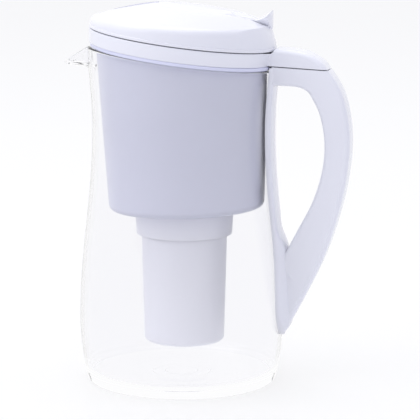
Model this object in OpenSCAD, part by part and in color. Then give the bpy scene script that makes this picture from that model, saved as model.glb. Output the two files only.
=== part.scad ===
/* [Jug] */
// Radius of the jug at its foot
foot_r = 66.8; // [66:0.1:70]
// Rounding of the foot's edge
foot_edge = 1.8; // [1:0.1:4]
// Radius at the belly
belly_r = 72.6; // [70:0.1:76]
// Height of the belly
belly_z = 45; // [35:1:60]
// Radius at the waist
waist_r = 63.1; // [62.6:0.1:66]
// Height of the waist
waist_z = 182; // [170:1:190]
// Radius that the jug flares out to at its mouth
mouth_r = 66.3; // [66:0.1:69]
// Height at which the flare ends
mouth_z = 242; // [240:1:250]
// Thickness of the jug's wall
wall = 2.3; // [1.8:0.1:2.6]
// Thickness of the jug's floor
floor_t = 6.5; // [4:0.1:7.5]
// Rounding inside, where floor and wall meet
floor_edge = 8; // [3:0.5:12]
// Height of the rim on the jug's axis
rim_z = 231.6; // [230.5:0.1:232.5]
// Slope of the rim and the lid, low at the handle
rim_tilt = 7.2; // [5:0.1:9]

/* [Spout] */
// Length from the jug's axis to the tip of the spout
spout_reach = 85; // [80:0.5:90]
// Half of the spout's width where it leaves the wall
spout_root_r = 16; // [12:0.5:19]
// Height of the spout's keel at the wall
spout_low = 219.5; // [215:0.5:221]
// Rise of the keel from the wall to the tip
spout_rise = 2.5; // [0:0.5:4]
// Radius of the tip
spout_tip_r = 2.6; // [2.6:0.1:4]
// Slope of the lip, down towards the tip
lip_slope = 31; // [25:1:35]

/* [Handle] */
// Half of the grip's width
grip_w = 12; // [10:0.5:14]
// Half of the grip's width at its foot
grip_foot_w = 8; // [6:0.5:9]
// Rounding of the grip's edges
grip_edge = 4; // [2:0.5:5]
// Wall of the grip's two mouldings
grip_wall = 2.5; // [2:0.1:3]
// Thickness of the back strap on the jug
strap_t = 3.2; // [3:0.1:4]
// Thickness of the strap's thick lower half
heel_t = 7; // [6.5:0.1:8]
// Half width of the strap
strap_w = 13; // [12.5:0.5:15]
// Half width of the strap's shield-shaped foot
shield_w = 16.5; // [15:0.5:20]
// Height of the shield's lower point
shield_z = 35; // [32:0.5:38]
// Height of the slit between handle and lid, on the jug's axis
slit_z = 229.9; // [229.5:0.1:230.5]
// Slope of the slit, down towards the grip
slit_tilt = 2.9; // [2.6:0.1:3.2]
// Gap between handle and lid
slit_gap = 0.7; // [0.4:0.1:1]
// Height of the screw in the strap's foot
low_screw_z = 84; // [78:1:90]
// Height of the screw inside the grip
high_screw_z = 217; // [216:0.5:218]
// Radius of the screws
screw_r = 1.2; // [1:0.1:1.4]
// Radius of the screws' heads
screw_head_r = 2.4; // [2.2:0.1:2.6]

/* [Hopper] */
// Clearance between the hopper's foot and the jug's waist
hopper_clear = 5.8; // [5:0.1:10]
// Clearance between the hopper's widest place and the jug's waist
hopper_fit = 0.7; // [0.6:0.1:2]
// Height of the hopper's floor on its axis
hopper_z = 124; // [120:1:130]
// Place of the hopper's floor towards the handle
hopper_x = 3.8; // [0:0.1:4]
// Lean of the hopper's axis, forward at the top
hopper_tilt = 1.8; // [0:0.1:3]
// Wall of the hopper
hopper_wall = 1.9; // [1.5:0.1:2.4]
// Rounding of the hopper's lower edge
hopper_edge = 5; // [3:0.5:8]
// Radius of the flange that hangs on the jug's rim
flange_r = 64.9; // [64.5:0.1:65.5]
// Thickness of the flange
flange_t = 2.6; // [2:0.1:3.2]
// Half width of the flange's notch over the spout
notch_w = 18; // [15:0.5:22]

/* [Cartridge] */
// Place of the cartridge's axis towards the handle
cart_x = 2; // [0:0.1:4]
// Height of the cartridge's underside
cart_z = 28.4; // [27:0.1:31]
// Radius of the cartridge at its underside
cart_low_r = 28.5; // [26:0.1:30]
// Radius of the cartridge under its head
cart_top_r = 30.4; // [29:0.1:31]
// Lowest edge of the head
head_z = 105.5; // [100:0.5:110]
// Radius of the head at its top
head_r = 34.9; // [33.5:0.1:36]
// Height of the head's top face
head_top = 122; // [121:0.1:122.2]
// Wall of the cartridge's mouldings
cart_wall = 1.8; // [1.5:0.1:2.2]
// Width of the slots in the cartridge's underside
slot_w = 1.2; // [0.8:0.1:1.4]
// Radius of the neck that screws into the hopper
neck_r = 17; // [14:0.5:19]
// Clearance round the neck
neck_fit = 0.3; // [0.2:0.05:0.5]
// Length of the neck above the head
neck_h = 9; // [8.5:0.1:9.5]
// Thickness of the seal on the head
seal_t = 1.6; // [1:0.1:1.6]
// Thickness of each felt
felt_t = 1.5; // [1:0.1:2]
// Depth of the mineral bed
mineral_h = 17; // [12:1:20]
// Depth of the resin bed
resin_h = 24; // [18:1:28]
// Depth of the carbon bed
carbon_h = 37; // [30:1:40]

/* [Lid] */
// Radius of the collar
collar_r = 66.3; // [66:0.1:67]
// Height of the gap between collar and flip lid above the rim
collar_h = 13; // [12.5:0.1:14]
// Shift of the collar towards the spout
collar_shift = 0.9; // [0:0.1:1.5]
// Draft of the collar's wall: how much smaller its foot is
collar_draft = 1.2; // [0.5:0.1:1.5]
// Wall of the lid's mouldings
lid_wall = 2.2; // [1.8:0.1:2.6]
// Gap between collar and flip lid
lid_gap = 0.7; // [0.5:0.1:1]
// Radius of the fill opening
fill_r = 48.5; // [40:0.5:50]
// Shift of the fill opening towards the spout
fill_shift = 4; // [2:0.5:6]
// Depth of the skirt that centres the collar in the hopper
skirt_h = 15; // [12:0.5:16]
// Height of the dome above the gap
dome_h = 25; // [22:0.5:28]
// Radius of the dome's crown
crown_r = 150; // [140:1:170]
// Rise of the dome towards the handle
dome_tilt = 4; // [3:0.1:5]
// Rounding of the dome's shoulder
shoulder = 6; // [3:0.5:8]
// Height of the step round the foot of the dome
lip_h = 2.3; // [1.5:0.1:3]
// Height of the thumb tab's corners above the gap
tab_h = 24.4; // [23:0.1:25]
// Half of the tab's width
tab_w = 12.4; // [10:0.1:13]
// Height of the tab's lower point on the dome's rear
tab_foot = 15.1; // [14:0.1:16]
// Radius of the thumb scoop in front of the tab
scoop_r = 23.3; // [22.5:0.1:24]
// Depth of the scoop below the dome's crown
scoop_depth = 5.6; // [4:0.1:6]
// Fall of the scoop to both sides
scoop_fall = 8; // [4:1:9]
// Distance from the lid's axis to the scoop's lowest line
scoop_x = 42.6; // [42:0.1:44]
// Distance from the collar's rim in to the hinge
hinge_inset = 5.6; // [5.5:0.1:5.8]
// Height of the hinge above the gap
hinge_z = 4; // [3.8:0.1:4.2]
// Radius of the hinge's knuckles
knuckle_r = 2.7; // [2.6:0.1:2.8]
// Radius of the hinge pin
pin_r = 1.3; // [1.1:0.1:1.4]
// Running clearance between pin and flip lid
pin_fit = 0.05; // [0.03:0.01:0.08]
// Half length of the hinge pin
pin_half = 9; // [8.5:0.1:9.2]
// Half length of the flip lid's knuckle
knuckle_half = 4; // [3:0.5:5]
// Angle that the flip lid opens to
open_angle = 70; // [60:5:70]
// Length of the oval badge
badge_len = 34; // [28:1:38]
// Width of the oval badge
badge_w = 22; // [18:1:26]
// Depth of the badge's recess
badge_depth = 1.5; // [1:0.1:1.6]

/* [Hidden] */
$fn = 96;
eps = 0.01;
far = 130;

// How far the finger-side moulding sits below the grip's edge, and its clearance
insert_sink = 0.3;
insert_fit = 0.05;

// Height at which the grip starts to narrow, and of the top of the strap's thick half
taper_z = 130;
heel_z = 112;

// Pads on the jug, seats and heads of the screws, boss inside the grip
pad_r = 3.2;
pad_h = 2.6;
pad_fit = 0.1;
seat_h = 5;
head_h = 1.8;
boss_r = 4.4;
boss_h = seat_h + head_h + 0.2;

// Hopper: its radii below and above, height of its seat on the seal, reach of its cone
hopper_low_r = waist_r - wall - hopper_clear;
hopper_top_r = waist_r - wall - hopper_fit;
seat_z = head_top + seal_t;
hopper_len = 130;
hopper_rise = 112;

// Cartridge: how much narrower the head's lower edge is, width of the seal, rounding of the cup
head_taper = 1.2;
seal_w = 5;
cup_edge = 3;

// Collar: place of the hinge, its lowest edge, the bead under it, the skirt's radius
hinge_x = collar_r - hinge_inset;
collar_low = flange_t - collar_h;
bead_w = 5.5;
bead_h = 1.5;
chamfer = 5.5;
skirt_r = hopper_top_r - 3.1;

// Flip lid: step of the dome over its lip, its inner plate, plug rim and leaning rear
dome_step = 0.6;
liner_gap = 3.1;
liner_t = 2;
plug_fit = 1;
plug_h = 2.6;
rear_r = collar_r + 9.7;
rear_shift = 9.9;
rear_lean = 23;
rear_low = 3.1;
rear_high = 17;
rear_edge = 7;

// Hinge: gap round the knuckles and side play
knuckle_gap = 0.35;
knuckle_play = 0.3;

// Arms of the collar's knuckles: length and height over the hinge's axis
arm_len = 9;
arm_top = 1;

// Block of the flip lid that carries the hinge: reach, half width and height
block_in = arm_len + 3;
block_half = pin_half + 2.5;
block_top = 11;

// Groove in the collar under the hinge: radii in the middle and at its ends, its reach, pad below it
groove_r = hinge_inset + 1.5;
groove_flat = 10;
groove_end_r = hinge_z + 0.5;
groove_half = 22;
groove_front = 3.5;
groove_pad = 2.3;
tail_solid_x = 72;

// Thumb tab: place, lean and rounding of its rear face, outline of its side from behind
bowl_r = 40;
scoop_ease = 0.2;
tab_back = collar_r - 4.1;
tab_lean = 7;
tab_round = 33;
tab_rise = tab_h - tab_foot;
tab_side = [
    [1.35 * tab_w, tab_h + 0.6 * tab_rise],
    [0.82 * tab_w, tab_foot + 0.7 * tab_rise],
    [0.59 * tab_w, tab_foot + 0.41 * tab_rise],
    [0.24 * tab_w, tab_foot + 0.11 * tab_rise]
];

// Badge: thickness and place of its middle
badge_t = 0.6;
badge_x = -31;

// Handle stations: outer x and z, inner x and z
stations = [
    [58, 238.6, 58, 213.4],
    [74, 238.8, 74, 213.2],
    [87, 237, 84.5, 212.4],
    [95.7, 233.4, 90.8, 209.6],
    [103.3, 226.9, 94.4, 204.6],
    [115.4, 207, 100, 192.4],
    [120.6, 179, 103.1, 174],
    [118.9, 150.8, 101.6, 154],
    [112.8, 122.3, 95.2, 132.6],
    [103.4, 93.3, 84.6, 111.6],
    [89.5, 63.5, 70.5, 84],
    [77, 40, 60, 58]
];
station_steps = 3;

// Heights of the four felts
fill_z = cart_z + cart_wall + 0.6;
felt_zs = [
    fill_z,
    fill_z + felt_t + mineral_h,
    fill_z + 2 * felt_t + mineral_h + resin_h,
    fill_z + 3 * felt_t + mineral_h + resin_h + carbon_h
];

// Outer radius of the jug at height z
function jug_r(z) =
    z < belly_z ? belly_r - (belly_r - foot_r) * pow((belly_z - z) / belly_z, 1.9) :
    z < waist_z ? (belly_r + waist_r) / 2
        + (belly_r - waist_r) / 2 * cos(180 * (z - belly_z) / (waist_z - belly_z)) :
    waist_r + (mouth_r - waist_r) / 2 * (1 - cos(180 * min(1, (z - waist_z) / (mouth_z - waist_z))));

// Points of an arc in the plane
function arc(c, r, a0, a1, n = 6) =
    [for (i = [0:n]) [c[0] + r * cos(a0 + (a1 - a0) * i / n), c[1] + r * sin(a0 + (a1 - a0) * i / n)]];

// Catmull-Rom value between b and c
function blend(a, b, c, d, t) =
    b + (c - a) * t / 2 + (2 * a - 5 * b + 4 * c - d) * t * t / 2 + (3 * b - a - 3 * c + d) * t * t * t / 2;

function station(i) = stations[max(0, min(len(stations) - 1, i))];

function smooth_stations() = [
    for (i = [0:len(stations) - 2], k = [0:station_steps - 1])
        blend(station(i - 1), station(i), station(i + 1), station(i + 2), k / station_steps),
    station(len(stations) - 1)
];

// Outline of the handle, each side moved inward by its own amount
function handle_outline(out, inn) =
    let (list = smooth_stations(), n = len(list),
        dirs = [for (q = list) let (d = [q[0] - q[2], q[1] - q[3]]) d / norm(d)])
    concat(
        [for (i = [0:n - 1]) [list[i][0], list[i][1]] - out * dirs[i]],
        [for (i = [n - 1:-1:0]) [list[i][2], list[i][3]] + inn * dirs[i]]
    );

module handle_slab(out, inn, half) {
    rotate([90, 0, 0]) linear_extrude(height = 2 * half, center = true) polygon(handle_outline(out, inn));
}

// The wedges that narrow the grip towards its foot
module handle_taper(side) {
    for (m = [0, 1]) mirror([0, m, 0]) translate([0, grip_w - side, taper_z])
        rotate([-atan((grip_w - grip_foot_w) / (taper_z - shield_z)), 0, 0])
            translate([-far, 0, -2 * far]) cube([3 * far, far, 2 * far]);
}

// The whole handle's form, with its long edges stepped round
module handle_form() {
    difference() {
        union() {
            handle_slab(0, 0, grip_w - grip_edge);
            handle_slab(0.3 * grip_edge, 0.3 * grip_edge, grip_w - 0.35 * grip_edge);
            handle_slab(0.8 * grip_edge, 0.8 * grip_edge, grip_w);
        }
        handle_taper(0);
    }
}

// Frame of the jug's rim: its plane is z = 0, centred on the jug's axis
module rim_frame() {
    translate([0, 0, rim_z]) rotate([0, rim_tilt, 0]) children();
}

// Frame of the lid: the gap between collar and flip lid is z = 0
module lid_frame() {
    rim_frame() translate([-collar_shift, 0, collar_h]) children();
}

// Frame of the hopper, from the centre of its floor
module hopper_frame() {
    translate([hopper_x, 0, hopper_z]) rotate([0, -hopper_tilt, 0]) children();
}

// Everything above the slit between handle and lid, from a height over it
module above_slit(lift) {
    translate([0, 0, slit_z]) rotate([0, slit_tilt, 0]) translate([0, -far / 2, lift])
        cube([2 * far, far, far]);
}

// The jug's outer form, grown outward
module jug_form(grow = 0) {
    rotate_extrude() polygon(concat(
        [[0, 0]],
        grow > 0 ? [[jug_r(0) + grow, 0]]
            : arc([jug_r(foot_edge) - foot_edge, foot_edge], foot_edge, -90, -5),
        [for (z = [6:6:252]) [jug_r(z) + grow, z]],
        [[0, 252]]
    ));
}

module jug_hollow() {
    corner = floor_t + floor_edge;
    rotate_extrude() polygon(concat(
        [[0, floor_t]],
        arc([jug_r(corner) - wall - floor_edge, corner], floor_edge, -90, -8),
        [for (z = [18:6:252]) [jug_r(z) - wall, z]],
        [[0, 252]]
    ));
}

// The spout's form, as a wedge of two upright rounds
module spout_form(inset = 0) {
    hull() {
        translate([-50, 0, spout_low + inset]) cylinder(r = spout_root_r - inset, h = 40, $fn = 32);
        translate([-spout_reach + spout_tip_r, 0, spout_low + spout_rise + inset])
            cylinder(r = spout_tip_r - inset * 0.7, h = 30, $fn = 32);
    }
}

module rim_cut() {
    rim_frame() translate([-far, -far, 0]) cube([2 * far, 2 * far, far]);
    rim_frame() translate([-63.5, -far / 2, 0]) rotate([0, -lip_slope - rim_tilt, 0]) translate([-far, 0, 0])
        cube([far, far, far]);
}

// Axis of a screw through the strap, from the jug's surface outward
module screw_axis(z) {
    translate([jug_r(z), 0, z]) rotate([0, 90, 0]) children();
}

module jug() {
    color([0.92, 0.94, 0.98, 0.35]) difference() {
        union() {
            difference() {
                union() {
                    jug_form();
                    spout_form();
                }
                rim_cut();
                jug_hollow();
                spout_form(wall * 0.8);
            }
            for (z = [low_screw_z, high_screw_z])
                intersection() {
                    screw_axis(z) translate([0, 0, -5]) cylinder(r = pad_r, h = pad_h + 5);
                    difference() {
                        jug_form(10);
                        jug_hollow();
                    }
                }
        }
        for (z = [low_screw_z, high_screw_z])
            screw_axis(z) translate([0, 0, -1]) cylinder(r = screw_r, h = 10, $fn = 32);
    }
}

// The strap's outline seen along X, down to its pointed foot
module strap_outline() {
    foot_h = 22;
    side_h = 72;
    round_side = [for (a = [0:11.25:90]) [shield_w * sin(a), shield_z + foot_h * (1 - cos(a))]];
    rotate([90, 0, 90]) linear_extrude(height = far) polygon(concat(
        round_side,
        [[strap_w, shield_z + side_h], [strap_w, 2 * far]],
        [[-strap_w, 2 * far], [-strap_w, shield_z + side_h]],
        [for (i = [len(round_side) - 1:-1:1]) [-round_side[i][0], round_side[i][1]]]
    ));
}

// The strap as a solid block, from the jug's axis outward
module strap_block() {
    face = jug_r(shield_z) + heel_t;
    half = grip_foot_w + 1;
    intersection() {
        union() {
            jug_form(strap_t);
            difference() {
                intersection() {
                    jug_form(heel_t);
                    linear_extrude(height = heel_z) polygon([
                        [0, -shield_w - 1], [face - heel_t - 4, -shield_w - 1], [face, -half], [far, -half],
                        [far, half], [face, half], [face - heel_t - 4, shield_w + 1], [0, shield_w + 1]
                    ]);
                }
                translate([jug_r(heel_z) + strap_t - 1, 0, heel_z]) rotate([0, -15, 0])
                    translate([0, -far / 2, -far]) cube([far, far, 2 * far]);
            }
        }
        strap_outline();
    }
}

module handle_strap() {
    color([0.93, 0.93, 0.96]) difference() {
        union() {
            strap_block();
            screw_axis(high_screw_z) cylinder(r = boss_r, h = boss_h);
        }
        jug_form();
        above_slit(-slit_gap / 2 - 1.2);
        for (z = [low_screw_z, high_screw_z]) screw_axis(z) {
            translate([0, 0, -5]) cylinder(r = pad_r + pad_fit, h = pad_h + 5);
            cylinder(r = screw_r + 0.2, h = 20, $fn = 32);
            translate([0, 0, seat_h]) cylinder(r = screw_head_r + 0.2, h = 20, $fn = 32);
        }
    }
}

// What the grip's mouldings leave free: strap, screw boss and lid
module handle_cuts() {
    strap_block();
    screw_axis(high_screw_z) cylinder(r = boss_r + pad_fit, h = boss_h + 2);
    above_slit(-slit_gap / 2);
}

module handle_shell() {
    color([0.94, 0.94, 0.97]) difference() {
        handle_form();
        difference() {
            handle_slab(grip_wall, -3, grip_w - grip_wall);
            handle_taper(grip_wall);
            above_slit(-slit_gap / 2 - grip_wall);
        }
        handle_cuts();
    }
}

module handle_insert() {
    color([0.9, 0.9, 0.94]) difference() {
        handle_slab(0, insert_sink, grip_w - grip_wall - insert_fit);
        handle_slab(-3, insert_sink + grip_wall, grip_w);
        handle_taper(grip_wall + insert_fit);
        handle_cuts();
    }
}

module handle_screws() {
    color([0.75, 0.76, 0.78]) for (z = [low_screw_z, high_screw_z]) screw_axis(z) difference() {
        union() {
            translate([0, 0, -0.9]) cylinder(r = screw_r, h = seat_h + 0.9 + eps, $fn = 32);
            translate([0, 0, seat_h]) cylinder(r = screw_head_r, h = head_h, $fn = 32);
        }
        for (a = [0, 90]) rotate(a) translate([-1.5, -0.3, seat_h + head_h - 0.9]) cube([3, 0.6, 2]);
    }
}

module hopper_cone(inset, low) {
    r0 = hopper_low_r - inset;
    slope = (hopper_top_r - hopper_low_r) / hopper_rise;
    e = max(1, hopper_edge - inset);
    rotate_extrude() polygon(concat(
        [[0, low]],
        arc([r0 + slope * (low + e) - e, low + e], e, -90, 0),
        [[r0 + slope * hopper_len, hopper_len], [0, hopper_len]]
    ));
}

module hopper() {
    color([0.86, 0.86, 0.92]) difference() {
        union() {
            intersection() {
                hopper_frame() hopper_cone(0, 0);
                rim_frame() translate([-far, -far, flange_t - 2 * far]) cube(2 * far);
            }
            rim_frame() difference() {
                cylinder(r = flange_r, h = flange_t);
                translate([-far - hopper_top_r + 1.5, -notch_w, -1]) cube([far, 2 * notch_w, flange_t + 2]);
            }
            translate([cart_x, 0, seat_z]) cylinder(r = head_r + 1, h = 4);
        }
        hopper_frame() hopper_cone(hopper_wall, 3);
        translate([cart_x, 0, seat_z - 5]) cylinder(r = head_r + 1, h = 5);
        translate([cart_x, 0, seat_z - 1]) cylinder(r = neck_r + neck_fit, h = 12);
    }
}

module at_cartridge(z) {
    translate([cart_x, 0, z]) children();
}

module cartridge_head() {
    depth = head_top - head_z;
    color([0.82, 0.82, 0.9]) at_cartridge(head_z) difference() {
        union() {
            cylinder(r1 = head_r - head_taper, r2 = head_r, h = depth);
            translate([0, 0, depth]) cylinder(r = neck_r, h = neck_h);
        }
        translate([0, 0, -1]) cylinder(r = head_r - head_taper - cart_wall, h = depth - cart_wall + 1);
        translate([0, 0, depth - 3]) cylinder(r = neck_r - cart_wall, h = neck_h + 4);
    }
}

module cartridge_seal() {
    color([0.75, 0.76, 0.8]) at_cartridge(head_top) difference() {
        cylinder(r = neck_r + seal_w, h = seal_t);
        translate([0, 0, -1]) cylinder(r = neck_r, h = seal_t + 2);
    }
}

module inlet_cap() {
    color([0.88, 0.88, 0.93]) at_cartridge(head_top + neck_h) difference() {
        union() {
            cylinder(r = neck_r, h = 2);
            translate([0, 0, -3]) cylinder(r = neck_r - cart_wall, h = 3 + eps);
        }
        translate([0, 0, -4]) cylinder(r = neck_r - 2 * cart_wall, h = 4);
        for (a = [0:30:330]) rotate(a) translate([0.3 * neck_r, -slot_w / 2, -5]) cube([0.4 * neck_r, slot_w, 10]);
    }
}

function cart_r(z) = cart_low_r + (cart_top_r - cart_low_r) * (z - cart_z) / (head_z - cart_z);

module cartridge_body() {
    top = head_top - cart_wall;
    color([0.88, 0.88, 0.93]) translate([cart_x, 0, 0]) difference() {
        union() {
            rotate_extrude() polygon(concat(
                [[0, cart_z]],
                arc([cart_low_r - cup_edge, cart_z + cup_edge], cup_edge, -90, 0),
                [[cart_r(top), top], [0, top]]
            ));
            translate([0, 0, top - 6]) cylinder(r = head_r - head_taper - cart_wall, h = 6);
        }
        translate([0, 0, fill_z])
            cylinder(r1 = cart_r(fill_z) - cart_wall, r2 = cart_r(top) - cart_wall, h = top - fill_z + eps);
        for (a = [0:15:345]) rotate(a) translate([0.32 * cart_low_r, -slot_w / 2, cart_z - 1])
            cube([0.5 * cart_low_r, slot_w, 6]);
    }
}

// A disc that fills the cartridge from one height to another
module cart_fill(low, high) {
    r = cart_wall + 0.05;
    translate([cart_x, 0, low]) cylinder(r1 = cart_r(low) - r, r2 = cart_r(high) - r, h = high - low);
}

module bottom_felt() {
    color([0.9, 0.9, 0.88]) cart_fill(felt_zs[0], felt_zs[0] + felt_t);
}

module mineral_bed() {
    color([0.72, 0.66, 0.58]) cart_fill(felt_zs[0] + felt_t, felt_zs[1]);
}

module lower_felt() {
    color([0.9, 0.9, 0.88]) cart_fill(felt_zs[1], felt_zs[1] + felt_t);
}

module resin_bed() {
    color([0.8, 0.6, 0.3]) cart_fill(felt_zs[1] + felt_t, felt_zs[2]);
}

module middle_felt() {
    color([0.9, 0.9, 0.88]) cart_fill(felt_zs[2], felt_zs[2] + felt_t);
}

module carbon_bed() {
    color([0.12, 0.12, 0.13]) cart_fill(felt_zs[2] + felt_t, felt_zs[3]);
}

module top_felt() {
    color([0.9, 0.9, 0.88]) cart_fill(felt_zs[3], felt_zs[3] + felt_t);
}

module hinge_axis(half) {
    translate([hinge_x, half, hinge_z]) rotate([90, 0, 0]) children();
}

// The collar's ring, deck and skirt, in the lid's frame
module collar_ring() {
    foot = collar_r - collar_draft;
    top = -lid_gap / 2;
    difference() {
        translate([0, 0, collar_low]) cylinder(r1 = foot, r2 = collar_r, h = top - collar_low);
        translate([0, 0, collar_low - 1]) cylinder(r = collar_r - bead_w, h = bead_h + 1);
        translate([0, 0, collar_low + bead_h - eps])
            cylinder(r = foot - lid_wall, h = top - collar_low - lid_wall - bead_h + eps);
        translate([-fill_shift, 0, -lid_wall - 2]) cylinder(r = fill_r, h = lid_wall + 4);
    }
    difference() {
        translate([0, 0, -skirt_h]) cylinder(r = skirt_r, h = skirt_h - lid_wall);
        translate([0, 0, -skirt_h - 1]) cylinder(r = skirt_r - lid_wall, h = skirt_h + 2);
    }
    intersection() {
        difference() {
            translate([0, 0, collar_low]) cylinder(r = foot, h = -collar_low - lid_wall);
            translate([0, 0, collar_low - 1]) cylinder(r = skirt_r + 1.5, h = far);
        }
        translate([-far, -notch_w - 3, -far / 2]) cube([far, 2 * notch_w + 6, far]);
    }
    intersection() {
        translate([0, 0, -lid_wall - groove_pad]) cylinder(r = foot - 0.5, h = groove_pad - 0.1);
        translate([skirt_r - lid_wall + 0.2, -groove_half, -far / 2]) cube([far, 2 * groove_half, far]);
    }
}

// Groove that the flip lid's rear edge swings through
module hinge_groove() {
    intersection() {
        union() {
            hinge_axis(groove_flat) cylinder(r = groove_r, h = 2 * groove_flat);
            for (m = [0, 1]) mirror([0, m, 0]) translate([hinge_x, groove_flat, hinge_z]) rotate([-90, 0, 0])
                cylinder(r1 = groove_r, r2 = groove_end_r, h = groove_half - groove_flat);
        }
        translate([hinge_x - groove_front, -far / 2, -far]) cube([far, far, 2 * far]);
    }
}

// Knuckles of the collar, each on an arm that leans back from the deck
module collar_knuckles() {
    inner = knuckle_half + knuckle_play;
    for (m = [0, 1]) mirror([0, m, 0]) intersection() {
        union() {
            hinge_axis(far / 2) cylinder(r = knuckle_r, h = far);
            translate([hinge_x, 0, hinge_z]) rotate([0, open_angle - 90, 0])
                translate([-arm_len, -far / 2, 0.4 - knuckle_r]) cube([arm_len, far, knuckle_r - 0.4 + arm_top]);
        }
        translate([0, inner, -far]) cube([far, pin_half - inner, 2 * far]);
    }
}

// The tail that covers the top of the handle, hollow and open below
module collar_tail() {
    intersection() {
        difference() {
            handle_form();
            intersection() {
                handle_slab(grip_wall, -3, grip_w - grip_wall);
                translate([tail_solid_x, -far / 2, 0]) cube(3 * far);
            }
            lid_frame() translate([0, 0, -2 * skirt_h]) cylinder(r = collar_r - 1.5, h = 4 * skirt_h);
        }
        above_slit(slit_gap / 2);
    }
}

module lid_collar() {
    color([0.92, 0.92, 0.96]) difference() {
        union() {
            difference() {
                union() {
                    lid_frame() collar_ring();
                    collar_tail();
                }
                lid_frame() hinge_groove();
                lid_frame() translate([-collar_r, -notch_w, -chamfer]) rotate([0, 45, 0])
                    translate([-20, 0, -30]) cube([60, 2 * notch_w, 30]);
            }
            lid_frame() collar_knuckles();
        }
        lid_frame() hinge_axis(pin_half + knuckle_play)
            cylinder(r = pin_r, h = 2 * (pin_half + knuckle_play), $fn = 32);
    }
}

// The dome's round form in its own leaning frame
module dome_form(inset = 0) {
    r = collar_r - dome_step - inset;
    top = dome_h - inset;
    e = shoulder - inset / 2;
    drop = pow(r - e, 2) / (2 * crown_r);
    rotate([0, -dome_tilt, 0]) rotate_extrude() polygon(concat(
        [[0, -20], [r, -20]],
        arc([r - e, top - drop - e], e, 0, 90 - asin((r - e) / crown_r)),
        [for (k = [5:-1:1]) let (q = (r - e) * k / 6) [q, top - q * q / (2 * crown_r)]],
        [[0, top]]
    ));
}

// Keeps the dome's rear inside a wall that leans forward
module rear_form(inset = 0) {
    slope_r = rear_r - (rear_high - rear_low) * tan(rear_lean);
    middle = [slope_r - rear_edge * cos(rear_lean), rear_high - rear_edge * sin(rear_lean)];
    translate([-rear_shift, 0, 0]) rotate_extrude() polygon(concat(
        [[0, -1], [rear_r - inset, -1], [rear_r - inset, rear_low]],
        arc(middle, rear_edge - inset, rear_lean, 82, 8),
        [[0, middle[1] + rear_edge - inset + 1]]
    ));
}

module above_gap(rise = 0) {
    translate([-far, -far, lid_gap / 2 + rise]) cube([2 * far, 2 * far, far]);
}

// Oval of the badge, through the dome's front
module badge_oval(grow, low) {
    translate([badge_x, 0, 0]) rotate([0, -dome_tilt - 13, 0]) translate([0, 0, low])
        scale([badge_len / badge_w, 1, 1]) cylinder(r = badge_w / 2 + grow, h = 30);
}

// The thumb scoop: two cylinders that fall to both sides, inside a long one that closes the scoop's ends
module scoop(grow) {
    low = dome_h - scoop_depth;
    intersection() {
        for (s = [-1, 1]) translate([scoop_x, 0, low]) rotate([s * scoop_fall, 0, 0])
            translate([0, 0, scoop_r]) rotate([90, 0, 0]) cylinder(r = scoop_r + grow, h = 2 * collar_r, center = true);
        translate([0, 0, low - scoop_ease + bowl_r]) rotate([0, 90, 0])
            cylinder(r = bowl_r + grow, h = 2 * collar_r);
    }
}

// The thumb tab before its scoop is cut: a wedge that is pointed below
module tab_wedge() {
    intersection() {
        translate([40, -far / 2, tab_foot - 5]) cube([far, far, scoop_r]);
        translate([tab_back - tab_round, 0, tab_foot]) rotate([0, -tab_lean, 0])
            cylinder(r = tab_round, h = far, center = true);
        rotate([90, 0, 90]) linear_extrude(height = far) polygon(concat(
            tab_side,
            [[0, tab_foot]],
            [for (i = [len(tab_side) - 1:-1:0]) [-tab_side[i][0], tab_side[i][1]]]
        ));
    }
}

module flip_solid() {
    difference() {
        union() {
            intersection() {
                dome_form();
                rear_form();
                above_gap();
            }
            translate([0, 0, lid_gap / 2]) cylinder(r = collar_r, h = lip_h);
            tab_wedge();
        }
        scoop(0);
    }
}

// Block of full thickness that carries the flip lid's knuckle
module hinge_block() {
    translate([hinge_x - block_in, -block_half, -1]) cube([block_in + 12, 2 * block_half, block_top + 1]);
}

// Slots for the collar's knuckles and their arms
module hinge_slots() {
    reach = knuckle_r + knuckle_gap;
    for (m = [0, 1]) mirror([0, m, 0]) intersection() {
        union() {
            hinge_axis(far / 2) cylinder(r = reach, h = far);
            translate([hinge_x - arm_len - 1.5, -far / 2, -5])
                cube([arm_len + 1.3 + reach, far, hinge_z + 5 + arm_top + knuckle_gap]);
        }
        translate([0, knuckle_half, -far]) cube([far, pin_half + knuckle_play - knuckle_half, 2 * far]);
    }
}

module flip_shell() {
    color([0.96, 0.96, 0.98]) lid_frame() difference() {
        flip_solid();
        difference() {
            union() {
                difference() {
                    intersection() {
                        dome_form(lid_wall);
                        rear_form(lid_wall);
                        above_gap(liner_t);
                    }
                    scoop(lid_wall);
                }
                cylinder(r = collar_r - liner_gap, h = lid_gap / 2 + liner_t + knuckle_play / 6);
            }
            hinge_block();
        }
        hinge_slots();
        hinge_axis(knuckle_half + 1) cylinder(r = pin_r + pin_fit, h = 2 * knuckle_half + 2, $fn = 32);
        badge_recess();
    }
}

module badge_recess() {
    intersection() {
        badge_oval(knuckle_play, 0);
        difference() {
            dome_form(-3);
            dome_form(badge_depth);
        }
    }
}

module lid_badge() {
    color([0.84, 0.84, 0.9]) lid_frame() intersection() {
        badge_oval(0, 0);
        difference() {
            dome_form(badge_depth - badge_t);
            dome_form(badge_depth);
        }
    }
}

module flip_liner() {
    color([0.9, 0.9, 0.94]) lid_frame() difference() {
        union() {
            translate([0, 0, lid_gap / 2]) cylinder(r = collar_r - liner_gap, h = liner_t);
            translate([-fill_shift, 0, -plug_h]) cylinder(r = fill_r - plug_fit, h = plug_h + lid_gap);
        }
        translate([-fill_shift, 0, -plug_h - 1])
            cylinder(r = fill_r - plug_fit - liner_t, h = plug_h + 1 + lid_gap / 2);
        hinge_block();
    }
}

module hinge_pin() {
    color([0.75, 0.76, 0.78]) lid_frame() hinge_axis(pin_half)
        cylinder(r = pin_r, h = 2 * pin_half, $fn = 32);
}

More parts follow.
